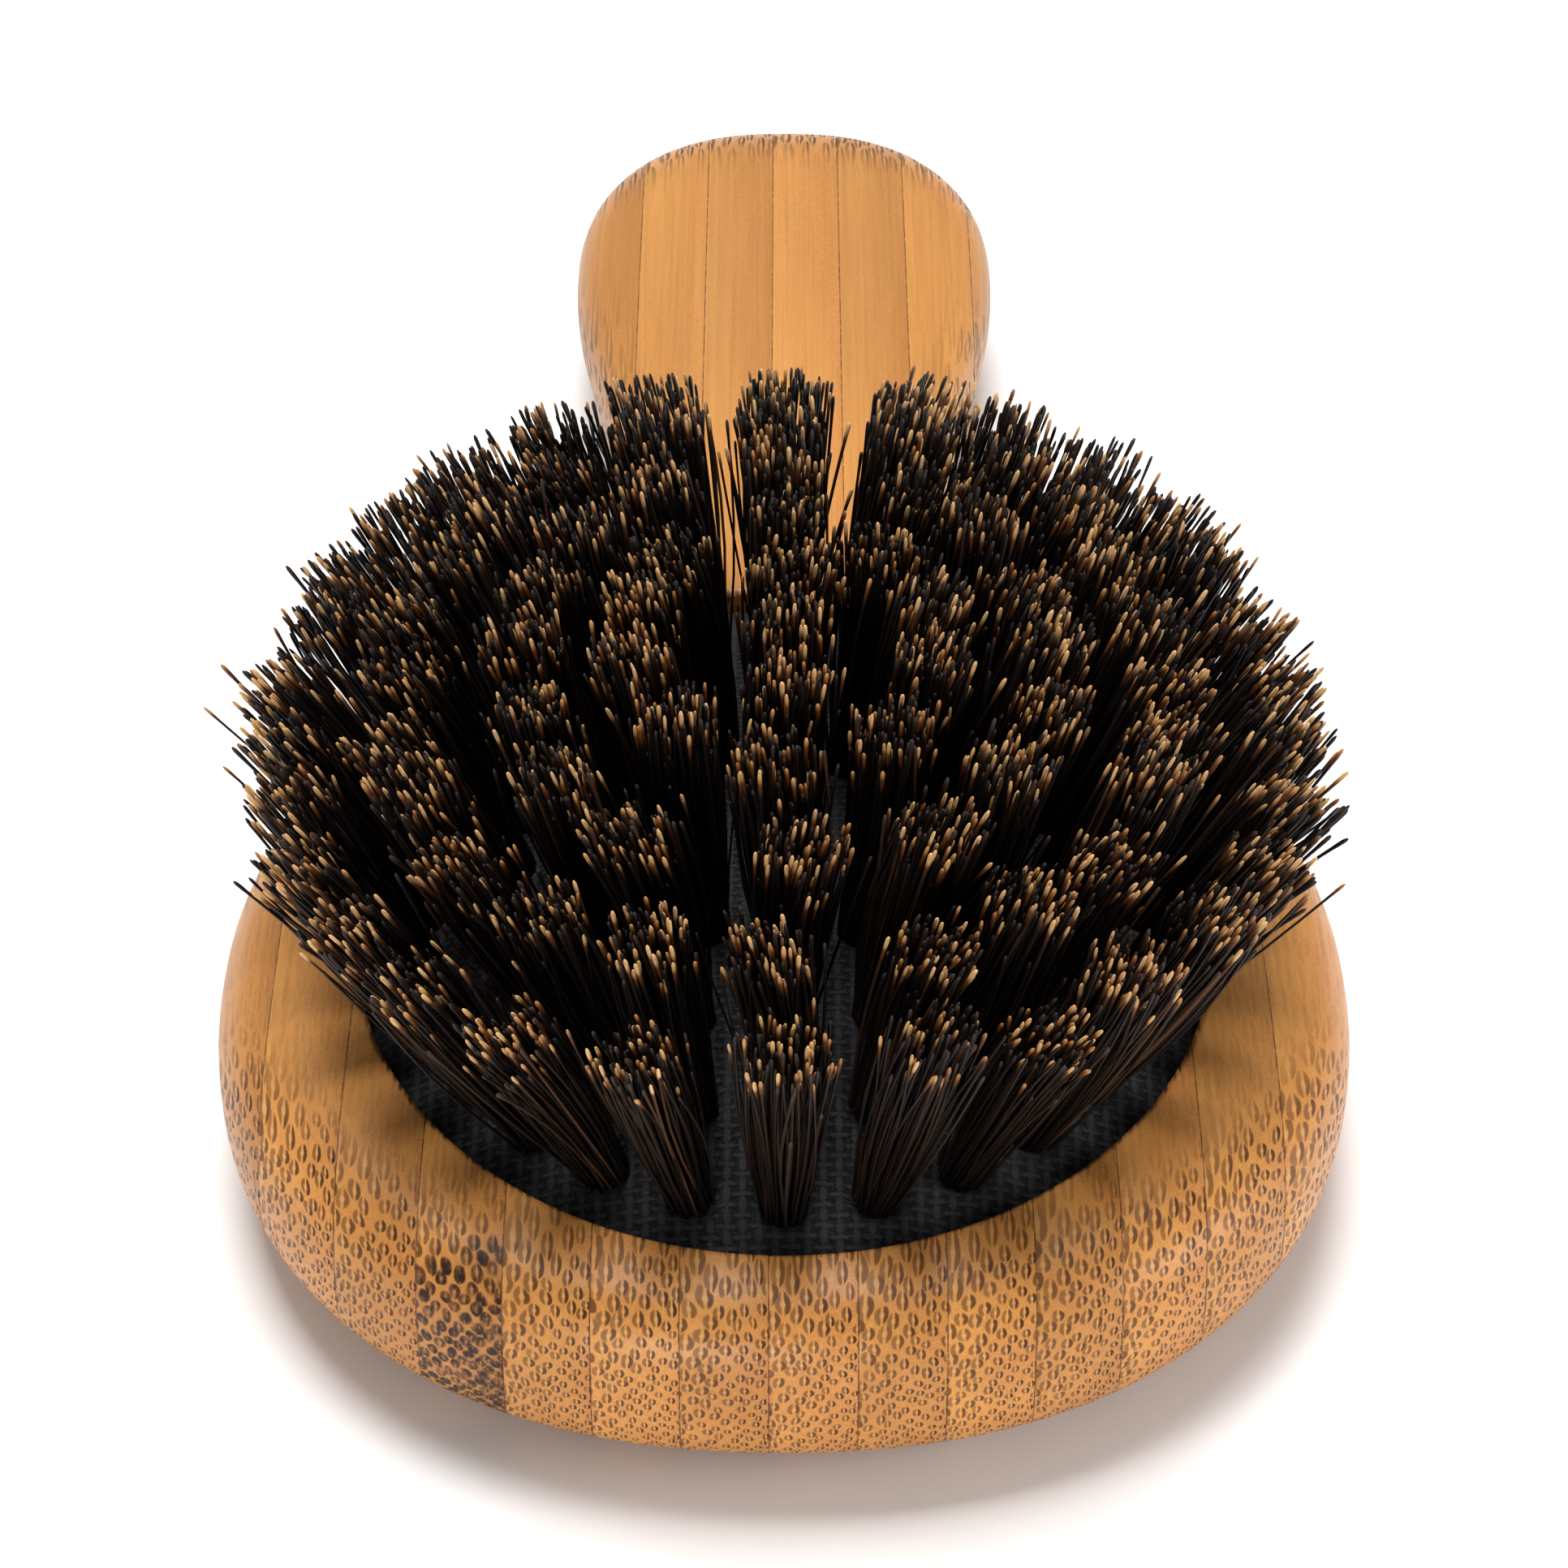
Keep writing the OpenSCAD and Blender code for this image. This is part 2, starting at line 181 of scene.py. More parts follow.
def upper_z(x, y):
    """Height of the wood's upper face, which turns down at the opening."""
    rise = np.interp(y, *UPPER_RISE)
    z = GIRTH_Z + BAND + (rise - BAND) * edge(inset(x, y) / np.interp(y, *UPPER_RUN))
    lip = np.clip(1 - oval_inset(x, y) / LIP, 0, 1)
    return z - LIP * (1 - np.sqrt(1 - LIP_TURN * lip**2))


def lower_z(x, y):
    """Height of the wood's lower face."""
    drop = np.interp(y, *LOWER_DROP)
    return GIRTH_Z - BAND - (drop - BAND) * edge(inset(x, y) / np.interp(y, *LOWER_RUN))


# ---- Small helpers ----
def mesh_object(name, verts, faces, smooth=True):
    """A mesh from points in millimetres."""
    data = bpy.data.meshes.new(name)
    points = [tuple(v) for v in np.asarray(verts, float) * MM]
    data.from_pydata(points, [], [tuple(int(i) for i in f) for f in faces])
    data.validate()
    data.update()
    data.polygons.foreach_set("use_smooth", [smooth] * len(data.polygons))
    obj = bpy.data.objects.new(name, data)
    bpy.context.collection.objects.link(obj)
    return obj


def finish_piece(obj, body, material, slot, *nodes):
    """Give a piece its material and the body that it rides on, and hide the CAD nodes that it stands for."""
    obj.data.materials.clear()
    obj.data.materials.append(material)
    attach(obj, body)
    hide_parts(*nodes)


class Nodes:
    """Short names for building a material's node tree."""

    def __init__(self, name):
        self.mat = bpy.data.materials.new(name)
        self.mat.use_nodes = True
        self.tree = self.mat.node_tree
        self.tree.nodes.clear()
        self.out = self.tree.nodes.new("ShaderNodeOutputMaterial")
        self.shader = self.tree.nodes.new("ShaderNodeBsdfPrincipled")
        self.tree.links.new(self.shader.outputs[0], self.out.inputs[0])

    def put(self, socket, value):
        if isinstance(value, bpy.types.NodeSocket):
            self.tree.links.new(value, socket)
        elif value is not None:
            socket.default_value = value

    def node(self, kind, settings=(), **inputs):
        n = self.tree.nodes.new(kind)
        for key, value in dict(settings).items():
            setattr(n, key, value)
        for key, value in inputs.items():
            self.put(n.inputs[key.replace("_", " ")], value)
        return n

    def math(self, op, a, b=None, c=None, clamp=False):
        n = self.node("ShaderNodeMath", {"operation": op, "use_clamp": clamp})
        for i, value in enumerate((a, b, c)):
            self.put(n.inputs[i], value)
        return n.outputs[0]

    def vec(self, op, a, b):
        n = self.node("ShaderNodeVectorMath", {"operation": op})
        self.put(n.inputs[0], a)
        self.put(n.inputs[1], b)
        return n.outputs[0]

    def axes(self, vector):
        return self.node("ShaderNodeSeparateXYZ", Vector=vector).outputs

    def channels(self, colour):
        return self.node("ShaderNodeSeparateColor", Color=colour).outputs

    def span(self, value, lo, hi, to_lo=0.0, to_hi=1.0, smooth=True):
        n = self.node("ShaderNodeMapRange", {"interpolation_type": "SMOOTHSTEP" if smooth else "LINEAR"})
        for i, v in enumerate((value, lo, hi, to_lo, to_hi)):
            self.put(n.inputs[i], v)
        return n.outputs[0]

    def mix(self, factor, a, b, blend="MIX"):
        n = self.node("ShaderNodeMix", {"data_type": "RGBA", "blend_type": blend})
        self.put(n.inputs[0], factor)
        self.put(n.inputs[6], a if isinstance(a, bpy.types.NodeSocket) else (*a, 1))
        self.put(n.inputs[7], b if isinstance(b, bpy.types.NodeSocket) else (*b, 1))
        return n.outputs[2]

    def noise(self, point, scale, detail=3, roughness=0.5, shift=None):
        """Noise whose features are about 1 / scale millimetres, on each axis if scale has three numbers."""
        if shift is not None:
            point = self.vec("ADD", point, shift)
        if isinstance(scale, tuple):
            point, scale = self.vec("MULTIPLY", point, scale), 1.0
        n = self.node("ShaderNodeTexNoise", Vector=point, Scale=scale, Detail=detail, Roughness=roughness)
        return n.outputs["Fac"]

    def bump(self, height, distance_mm, strength=1.0):
        n = self.node("ShaderNodeBump", Strength=strength, Distance=distance_mm * MM, Height=height)
        return n.outputs[0]

    def set(self, **inputs):
        for key, value in inputs.items():
            self.put(self.shader.inputs[key.replace("_", " ")], value)
        return self.mat

    def position(self):
        """Object position in millimetres."""
        n = self.node("ShaderNodeVectorMath", {"operation": "SCALE"}, Scale=1 / MM)
        self.put(n.inputs[0], self.node("ShaderNodeTexCoord").outputs["Object"])
        return n.outputs[0]


# ---- Bamboo: fibre bundles run along the brush, denser and darker towards one side of each stave ----
LIGHT_WOOD, DEEP_WOOD, STREAK_WOOD = (0.570, 0.248, 0.057), (0.385, 0.136, 0.026), (0.30, 0.108, 0.021)
SPECK_WOOD, HEART_WOOD = (0.78, 0.42, 0.15), (0.62, 0.37, 0.15)
# The last colour on the next line is a painted shade, multiplied into the handle's colour
BUNDLE_DARK, GLUE_DARK, PAINTED_HANDLE_SHADE = (0.050, 0.012, 0.002), (0.075, 0.024, 0.008), (0.86, 0.87, 0.88)
STAIN, STAIN_DARK = (0.19, 0.066, 0.017), (0.024, 0.008, 0.0035)
# Bundles are counted by u * (first + second * u), across from a stave's left side and up from the floor,
# so they lie closer together to the right and lower down, by first + 2 * second * u
CROWD_X, CROWD_Z = (0.90, 0.35), (1.80, -0.029)
# The fibres dip a little towards the front, which cuts them into short dashes on the rim
FIBRE_TILT, TILT_END_Y = 0.20, 30.0
# The cells are turned, so that the bundles line up along slants as they do in a cane's wall
CELL_TURN, CELL_JITTER = math.radians(33), 0.36
BUNDLE_R, BUNDLE_LEAST, BUNDLE_TALL = (0.258, 0.330), 0.14, 1.20
CRESCENT_W = 0.66


def turned(n, x, z, angle):
    """The point (x, z), turned by an angle."""
    across = n.math("MULTIPLY_ADD", z, -math.sin(angle), n.math("MULTIPLY", x, math.cos(angle)))
    up = n.math("MULTIPLY_ADD", z, math.cos(angle), n.math("MULTIPLY", x, math.sin(angle)))
    return across, up


def crowding(n, u, crowd):
    """Count of bundles up to u, for each unit of u, and their density at u."""
    first, second = crowd
    return n.math("MULTIPLY_ADD", u, second, first), n.math("MULTIPLY_ADD", u, 2 * second, first)


def fibre_bundles(n, p, across, seed):
    """The nearest bundle: distance from its middle, distance to the side, its radius and its own colour."""
    _, y, z = n.axes(p)
    mean_x, crowd_x = crowding(n, across, CROWD_X)
    mean_z, crowd_z = crowding(n, z, CROWD_Z)
    wander = n.noise(p, (0.25, 0.045, 0.25), 2)
    drift = n.noise(p, (0.5, 0.11, 0.5), 2, shift=(31, 0, 17))
    tilted = n.math("MULTIPLY_ADD", n.math("MINIMUM", y, TILT_END_Y), FIBRE_TILT, z)
    cell_x = n.math("ADD", n.math("MULTIPLY", n.math("MULTIPLY", across, STAVE_W), mean_x), seed * 3.7)
    cell_z = n.math("ADD", n.math("MULTIPLY", tilted, mean_z), seed * 5.3)
    cell_x = n.math("MULTIPLY_ADD", wander, 1.1, cell_x)
    cell_z = n.math("MULTIPLY_ADD", drift, 1.5, cell_z)
    slant_x, slant_z = turned(n, cell_x, cell_z, CELL_TURN)
    place = n.node("ShaderNodeCombineXYZ", X=slant_x, Y=slant_z).outputs[0]
    cells = n.node("ShaderNodeTexVoronoi", {"voronoi_dimensions": "2D"},
                   Vector=place, Scale=1, Randomness=CELL_JITTER)
    off_x, off_z, _ = n.axes(n.vec("SUBTRACT", place, cells.outputs["Position"]))
    back_x, back_z = turned(n, off_x, off_z, -CELL_TURN)
    side = n.math("DIVIDE", back_x, crowd_x)
    lift = n.math("DIVIDE", back_z, n.math("MULTIPLY", crowd_z, BUNDLE_TALL))
    squares = n.math("ADD", n.math("MULTIPLY", side, side), n.math("MULTIPLY", lift, lift))
    distance = n.math("POWER", squares, 0.5)
    own = n.channels(cells.outputs["Color"])
    radius = n.span(own[1], 0, 1, *BUNDLE_R, smooth=False)
    radius = n.math("DIVIDE", radius, n.math("MULTIPLY", crowd_x, crowd_z))
    radius = n.math("MAXIMUM", radius, BUNDLE_LEAST)
    return distance, side, radius, own


def bundle_marks(n, y, distance, side, radius, own):
    """Each bundle's pale middle, and the dark crescents to its left and right."""
    off_ring = n.math("ABSOLUTE", n.math("SUBTRACT", distance, radius))
    off_ring = n.math("DIVIDE", off_ring, n.math("MULTIPLY", radius, CRESCENT_W))
    beside = n.math("DIVIDE", side, radius)
    flank = n.span(n.math("ABSOLUTE", beside), 0.14, 0.46)
    flank = n.math("MULTIPLY", flank, n.span(beside, -0.5, 0.5, 0.72, 1.0))
    spots = n.math("MULTIPLY", n.span(off_ring, 0.50, 1.05, 1.0, 0.0), flank)
    spots = n.math("MULTIPLY", spots, n.span(own[0], 0.0, 0.4, 0.80, 1.0))
    heart = n.span(n.math("DIVIDE", distance, radius), 0.35, 0.75, 1.0, 0.0)
    # End grain shows the bundles sharply, and along the fibres they are only soft streaks
    normal_y = n.axes(n.node("ShaderNodeTexCoord").outputs["Normal"])[1]
    end_grain = n.span(n.math("ABSOLUTE", normal_y), 0.0, 0.26)
    along_grain = n.math("MAXIMUM", n.span(y, 15.0, 50.0, 0.16, 0.05), n.span(y, -31.0, -17.0, 0.85, 0.0))
    seen = n.math("MAXIMUM", end_grain, along_grain)
    return n.math("MULTIPLY", spots, seen), n.math("MULTIPLY", heart, seen)


def stain_patch(n, p, colour, distance, patch_y):
    """A dark band across the stave, where the cane had a node: the bundles are filled with brown."""
    y = n.axes(p)[1]
    off = n.math("ABSOLUTE", n.math("SUBTRACT", y, patch_y))
    band = n.math("SUBTRACT", 1, n.span(off, 2.2, 4.2), clamp=True)
    filled = n.span(distance, 0.30, 0.42, 1.0, 0.0)
    mottle = n.span(n.noise(p, (1.5, 0.5, 1.5), 3, 0.65), 0.36, 0.60, 0.25, 1.0)
    colour = n.mix(n.math("MULTIPLY", band, 0.30), colour, STAIN)
    return n.mix(n.math("MULTIPLY", n.math("MULTIPLY", band, filled), mottle), colour, STAIN_DARK)


def bamboo_material(name, x0, x1, seed, tone, patch_y=None):
    n = Nodes(name)
    p = n.position()
    x, y, _ = n.axes(p)
    across = n.span(x, x0, x1, smooth=False)
    distance, side, radius, own = fibre_bundles(n, p, across, seed)
    spots, heart = bundle_marks(n, y, distance, side, radius, own)

    def toned(colour):
        return [c * tone for c in colour]

    broad = n.noise(p, (0.22, 0.02, 0.22), 2, shift=(seed * 13.1, seed * 7.7, 0))
    streak = n.noise(p, (3.2, 0.035, 3.2), 4, 0.6, shift=(seed * 5.3, 0, 0))
    speckle = n.noise(p, (11, 7, 11), 2, 0.6)
    depth = n.math("MULTIPLY_ADD", across, 0.45, n.span(broad, 0.35, 0.65, 0.0, 0.35))
    base = n.mix(depth, toned(LIGHT_WOOD), toned(DEEP_WOOD))
    base = n.mix(n.span(streak, 0.35, 0.72, 0.0, 0.38), base, toned(STREAK_WOOD))
    base = n.mix(n.span(speckle, 0.30, 0.72, 0.0, 0.24), base, toned(SPECK_WOOD))
    base = n.mix(n.math("MULTIPLY", heart, 0.30), base, toned(HEART_WOOD))
    strength = n.span(across, 0.0, 1.0, 0.80, 1.0, smooth=False)
    colour = n.mix(n.math("MULTIPLY", spots, strength), base, BUNDLE_DARK)
    # Painted shade: the colour is darkened a little along the handle, towards its end
    colour = n.mix(n.span(y, 42.0, 84.0), colour, PAINTED_HANDLE_SHADE, "MULTIPLY")
    if patch_y is not None:
        colour = stain_patch(n, p, colour, distance, patch_y)

    to_glue = n.math("MINIMUM", n.math("SUBTRACT", x, x0), n.math("SUBTRACT", x1, x))
    broken = n.span(n.noise(p, (0.2, 1.1, 1.7), 3, 0.7), 0.36, 0.58, 0.45, 1.0)
    glue = n.math("MULTIPLY", n.span(to_glue, 0.015, 0.065, 1.0, 0.0), broken)
    colour = n.mix(n.math("MULTIPLY", glue, 0.88), colour, GLUE_DARK)
    pores = n.noise(p, (6.0, 0.35, 6.0), 3)
    height = n.math("ADD", n.math("MULTIPLY", pores, 0.35), n.math("MULTIPLY", glue, -0.8))
    height = n.math("ADD", n.math("MULTIPLY", spots, -0.5), height)
    rough = n.span(n.math("ADD", streak, n.math("MULTIPLY", spots, 0.5)), 0.3, 1.2, 0.36, 0.52)
    return n.set(Base_Color=colour, Roughness=rough, Normal=n.bump(height, 0.03, 0.5),
                 Coat_Weight=0.06, Coat_Roughness=0.30, Specular_IOR_Level=0.24)


# ---- Wood staves ----
OUTLINE_STEP, OVAL_COUNT = 0.45, 840
RIM_STEPS = [0.03, 0.1, 0.22, 0.4, 0.65, 1.0, 1.5, 2.2, 3.1, 4.3, 5.8, 7.6]
LIP_STEPS = [0.03, 0.07, 0.12, 0.17, 0.23, 0.30, 0.38, 0.46, 0.56, 0.9]
GRID_X, GRID_Y, GRID_START = 0.8, 0.9, 0.3
CUT_CLEAR, EDGE_CLEAR = 0.12, 0.02
STAVE_TONES = 0.94, 1.08, 0.94, 1.06, 1.0, 1.08, 0.97, 1.08, 0.93, 1.03, 0.89, 1.0, 0.95, 1.02
# The outermost staves end at the outline, and their grain is laid out a little past it
FIRST_X, LAST_X = STAVE_SHIFT - 7 * STAVE_W, HEAD_HALF_W + 0.35
OUTSIDE_X = HEAD_HALF_W + 1
PATCH_STAVE, PATCH_Y, STRIP_STAVE = 4, -31.5, 11


def outline_points():
    """The outline from above, evenly spaced, anticlockwise from the front."""
    quarter = np.linspace(0, np.pi / 2, 400)
    y = np.concatenate([
        -HEAD_FRONT * np.cos(quarter),
        np.linspace(0, GRIP_Y, 900)[1:],
        GRIP_Y + GRIP_END * np.sin(quarter)[1:],
    ])
    right = np.stack([half_w(y), y], 1)
    right[0] = (0, -HEAD_FRONT)
    right[-1] = (0, END_Y)
    loop = np.concatenate([right, (right * (-1, 1))[::-1][1:]])
    length = np.concatenate([[0], np.cumsum(np.linalg.norm(np.diff(loop, axis=0), axis=1))])
    s = np.linspace(0, length[-1], int(length[-1] / OUTLINE_STEP), endpoint=False)
    return np.stack([np.interp(s, length, loop[:, 0]), np.interp(s, length, loop[:, 1])], 1)


def inward_normals(points):
    tangent = np.roll(points, -1, 0) - np.roll(points, 1, 0)
    tangent /= np.linalg.norm(tangent, axis=1)[:, None]
    return np.stack([-tangent[:, 1], tangent[:, 0]], 1)


def on_oval(a, front, rear, t):
    """Point at angle t, from the front, on an egg-shaped oval with a longer rear; from its widest point."""
    return np.stack([a * np.sin(t), -np.where(np.cos(t) > 0, front, rear) * np.cos(t)], -1)


def oval_points(grow=0.0):
    """The opening's edge, or a line that far outside it."""
    t = np.linspace(0, 2 * np.pi, OVAL_COUNT, endpoint=False)
    return on_oval(PAD_HALF_W + grow, PAD_FRONT + grow, PAD_REAR + grow, t) + (0, PAD_Y)


OUTLINE = outline_points()
NORMALS = inward_normals(OUTLINE)
OVAL = oval_points()


def cut_point(before, here, x):
    """Where the step from one point to the next crosses the line at x: a list of one point, or none."""
    if (before[0] - x) * (here[0] - x) >= 0:
        return []
    t = (x - before[0]) / (here[0] - before[0])
    return [(x, before[1] + t * (here[1] - before[1]))]


def crossings(loop, x):
    """The y of each place where a closed loop crosses the line at x, from front to rear."""
    steps = zip(loop, np.roll(loop, -1, 0))
    return sorted(y for before, here in steps for _, y in cut_point(before, here, x))


def loop_chains(loop, x0, x1):
    """The runs of a closed loop between two cuts, ended on the cuts."""
    count = len(loop)
    inside = (loop[:, 0] > x0) & (loop[:, 0] < x1)
    for start in np.nonzero(inside & ~np.roll(inside, 1))[0]:
        chain = cut_point(loop[start - 1], loop[start], x0) + cut_point(loop[start - 1], loop[start], x1)
        i = start
        while inside[i % count]:
            chain.append(tuple(loop[i % count]))
            i += 1
        last, after = loop[(i - 1) % count], loop[i % count]
        yield chain + cut_point(last, after, x0) + cut_point(last, after, x1)


def cut_chains(x):
    """Points along a cut, from edge to edge of the wood, closer together at its ends."""
    ends, oval_ends = crossings(OUTLINE, x), crossings(OVAL, x)
    for lo, hi in zip(ends[::2], ends[1::2]):
        stops = [lo] + [e for e in oval_ends if lo < e < hi] + [hi]
        chain = []
        for a, b in zip(stops, stops[1:]):
            count = max(2, int((b - a) / GRID_Y))
            share = np.arange(count) / count
            if a == lo or b == hi:
                share = 0.5 - 0.5 * np.cos(np.pi * share)
            chain.extend((x, y) for y in a + (b - a) * share)
        yield chain + [(x, hi)]


def free_points(x0, x1):
    """Points between the chains: lines along the rounded edges, and a grid on the flatter faces."""
    columns = np.arange(math.ceil(x0) + GRID_START, x1, GRID_X)
    gx, gy = map(np.ravel, np.meshgrid(columns, np.arange(-HEAD_FRONT, END_Y, GRID_Y)))
    from_oval = oval_inset(gx, gy)
    plain = (inset(gx, gy) > RIM_STEPS[-2]) & ~((from_oval > -0.3) & (from_oval < 1.0))
    lines = [OUTLINE + NORMALS * d for d in RIM_STEPS] + [oval_points(d) for d in LIP_STEPS]
    free = np.concatenate(lines + [np.stack([gx, gy], 1)[plain]])
    x, y = free.T
    return free[(x > x0 + CUT_CLEAR) & (x < x1 - CUT_CLEAR) & (inset(x, y) > EDGE_CLEAR)]


def stave_triangles(x0, x1):
    """One stave seen from above, as points and triangles."""
    points, edges = [], []
    chains = list(loop_chains(OUTLINE, x0, x1)) + list(loop_chains(OVAL, x0, x1))
    for x in (x0, x1):
        if abs(x) <= HEAD_HALF_W:
            chains += cut_chains(x)
    for chain in chains:
        first = len(points)
        points.extend(chain)
        edges.extend((first + i, first + i + 1) for i in range(len(chain) - 1))
    points.extend(map(tuple, free_points(x0, x1)))
    flat, _, faces, *_ = delaunay_2d_cdt([Vector(p) for p in points], edges, [], 1, 1e-4, False)
    flat = np.array([tuple(v) for v in flat])
    faces = np.array([f for f in faces if len(f) == 3])
    x, y = flat[faces].mean(1).T
    a, b, c = (flat[faces[:, i]] for i in range(3))
    area = (b[:, 0] - a[:, 0]) * (c[:, 1] - a[:, 1]) - (b[:, 1] - a[:, 1]) * (c[:, 0] - a[:, 0])
    good = (np.abs(x - (x0 + x1) / 2) <= (x1 - x0) / 2) & (np.abs(area) > 1e-9)
    good &= np.abs(x) < half_w(y) + 1e-6
    faces[area < 0] = faces[area < 0][:, ::-1]
    return flat, faces[good]


def build_stave(name, x0, x1):
    """A stave as a closed solid, with sharp edges along its cuts and round the well's floor."""
    flat, faces = stave_triangles(x0, x1)
    in_well = oval_inset(*flat[faces].mean(1).T) < 0
    heights = {"top": upper_z(*flat.T), "low": lower_z(*flat.T), "floor": np.full(len(flat), CHAMBER_Z)}
    verts, index = [], {}

    def vertex(kind, i):
        if (kind, i) not in index:
            index[kind, i] = len(verts)
            verts.append((*flat[i], heights[kind][i]))
        return index[kind, i]

    solid, sharp, owners = [], set(), {}
    for face, well in zip(faces, in_well):
        roof = "floor" if well else "top"
        solid.append([vertex(roof, i) for i in face])
        solid.append([vertex("low", i) for i in face[::-1]])
        for i, j in zip(face, np.roll(face, -1)):
            owners.setdefault((min(i, j), max(i, j)), []).append((roof, i, j))
    for sides in owners.values():
        if len(sides) == 1:
            roof, i, j = sides[0]
            solid.append([vertex(roof, j), vertex(roof, i), vertex("low", i), vertex("low", j)])
            same_x = abs(flat[i, 0] - flat[j, 0]) < 1e-5
            if same_x and min(abs(flat[i, 0] - x0), abs(flat[i, 0] - x1)) < 1e-4:
                sharp |= {frozenset((vertex(kind, i), vertex(kind, j))) for kind in (roof, "low")}
        elif sides[0][0] != sides[1][0]:
            _, i, j = next(s for s in sides if s[0] == "top")
            solid.append([vertex("top", j), vertex("top", i), vertex("floor", i), vertex("floor", j)])
            sharp.add(frozenset((vertex("floor", i), vertex("floor", j))))
    obj = mesh_object(name, verts, solid)
    obj.data.edges.foreach_set("use_edge_sharp", [frozenset(e.vertices) in sharp for e in obj.data.edges])
    return obj


def build_wood():
    sides = [-OUTSIDE_X, *CUTS, OUTSIDE_X]
    grain = [FIRST_X, *CUTS, LAST_X]
    for k, tone in enumerate(STAVE_TONES, start=1):
        patch_y = PATCH_Y if k == PATCH_STAVE else None
        obj = build_stave(f"bamboo_stave_{k:02d}", sides[k - 1], sides[k])
        mat = bamboo_material(f"bamboo_{k:02d}", grain[k - 1], grain[k], k, tone, patch_y)
        nodes = [f"stave_{k:02d}"] + (["grip_edge_strip"] if k == STRIP_STAVE else [])
        slot = ("bamboo_light", "bamboo_mid", "bamboo_warm")[k % 3]
        finish_piece(obj, "brush_back", mat, slot, *nodes)


# ---- Cushion ----
# Spacing of the threads that run along the brush, and of those that run across
WARP, WEFT = 0.92, 0.66
RIDGE_H, RIDGE_R, RIDGE_W = 0.16, 2.3, 0.7
DIMPLE_H, DIMPLE_R = 0.45, 1.5
TUCK_H, TUCK_FROM = 0.5, 0.965
WAVE_COUNT, WAVE_H, THREAD_H = 10, 0.03, 0.045


def face_z(x, y):
    """Height of the cushion's face; y is counted from the opening's widest point."""
    r = FACE_ALONG - FACE_ACROSS + np.sqrt(FACE_ACROSS**2 - np.asarray(x, float) ** 2)
    return CROWN_Z - FACE_ALONG + np.sqrt(r * r - (np.asarray(y, float) + PAD_Y - DOME_Y) ** 2)


def ring_tufts(i):
    """Tufts of a ring: foot from the opening's widest point, and slopes of the lean, across and along."""
    first_a = PAD_HALF_W - RING_MARGIN
    a, inward = first_a - STEP_ACROSS * i, RING_MARGIN + STEP_ALONG * i
    front, rear = PAD_FRONT - inward, PAD_REAR - inward
    t = np.radians(np.arange(0, 361, 3))
    s = np.concatenate([[0], np.cumsum(np.linalg.norm(np.diff(on_oval(a, front, rear, t), axis=0), axis=1))])
    at = np.interp(s[-1] * np.arange(RING_COUNT[i]) / RING_COUNT[i], s, t)
    tufts = []
    for x, y in on_oval(a, front, rear, at):
        normal = np.array([x / a**2, y / (front if y < 0 else rear) ** 2])
        normal *= a / first_a / np.linalg.norm(normal)
        lean = LEAN_FRONT if y < 0 else LEAN_REAR
        slopes = np.tan(np.radians((LEAN_SIDE, lean))) * normal
        tufts.append((x, y, *slopes))
    return tufts


def centre_tufts():
    inward = RING_MARGIN + STEP_ALONG * len(RING_COUNT)
    return [(0, y, 0, 0) for y in np.linspace(inward - PAD_FRONT, PAD_REAR - inward, CENTRE_COUNT)]


RINGS = [ring_tufts(i) for i in range(len(RING_COUNT))] + [centre_tufts()]
ALL_TUFTS = np.array([t[:2] for ring in RINGS for t in ring])


def cloth_material():
    n = Nodes("cushion_canvas")
    p = n.position()
    x, y, _ = n.axes(p)
    warp_at = n.math("MULTIPLY_ADD", n.noise(p, 0.9, 2), 0.10, x)
    weft_at = n.math("MULTIPLY_ADD", n.noise(p, 1.1, 2), 0.12, y)
    warp = n.math("SINE", n.math("MULTIPLY", warp_at, math.pi / WARP))
    weft = n.math("SINE", n.math("MULTIPLY", weft_at, math.pi / WEFT))
    over = n.math("MULTIPLY", n.span(n.math("MULTIPLY", warp, weft), -0.35, 0.35, -1.0, 1.0), 0.12)
    along = n.math("MULTIPLY", n.math("POWER", n.math("ABSOLUTE", warp), 1.6), n.math("ADD", 0.86, over))
    across = n.math("POWER", n.math("ABSOLUTE", weft), 1.6)
    across = n.math("MULTIPLY", across, n.math("SUBTRACT", 0.80, over))
    thread = n.math("MAXIMUM", along, across)
    fibre = n.noise(p, 9, 4, 0.7)
    fuzz = n.noise(p, 17, 2, 0.6)
    patches = n.noise(p, 0.35, 3, 0.6)
    base = n.mix(n.span(thread, 0.52, 0.84), (0.0008, 0.0008, 0.0009), (0.033, 0.033, 0.034))
    base = n.mix(n.span(fibre, 0.48, 0.72, 0.0, 0.5), base, (0.042, 0.041, 0.042))
    base = n.mix(n.span(fuzz, 0.59, 0.70, 0.0, 0.8), base, (0.14, 0.14, 0.145))
    base = n.mix(n.span(patches, 0.35, 0.7, 0.0, 0.45), base, (0.010, 0.010, 0.011))
    height = n.math("ADD", thread, n.math("MULTIPLY", fibre, 0.7))
    return n.set(Base_Color=base, Roughness=0.95, Normal=n.bump(height, 0.16), Specular_IOR_Level=0.15,
                 Sheen_Weight=0.06, Sheen_Roughness=0.5)


def rubber_material():
    n = Nodes("cushion_rubber_body")
    grain = n.noise(n.position(), 3, 4)
    base = n.mix(grain, (0.010, 0.010, 0.011), (0.022, 0.022, 0.023))
    rough = n.span(grain, 0.3, 0.7, 0.55, 0.75)
    return n.set(Base_Color=base, Roughness=rough, Normal=n.bump(grain, 0.05, 0.5))


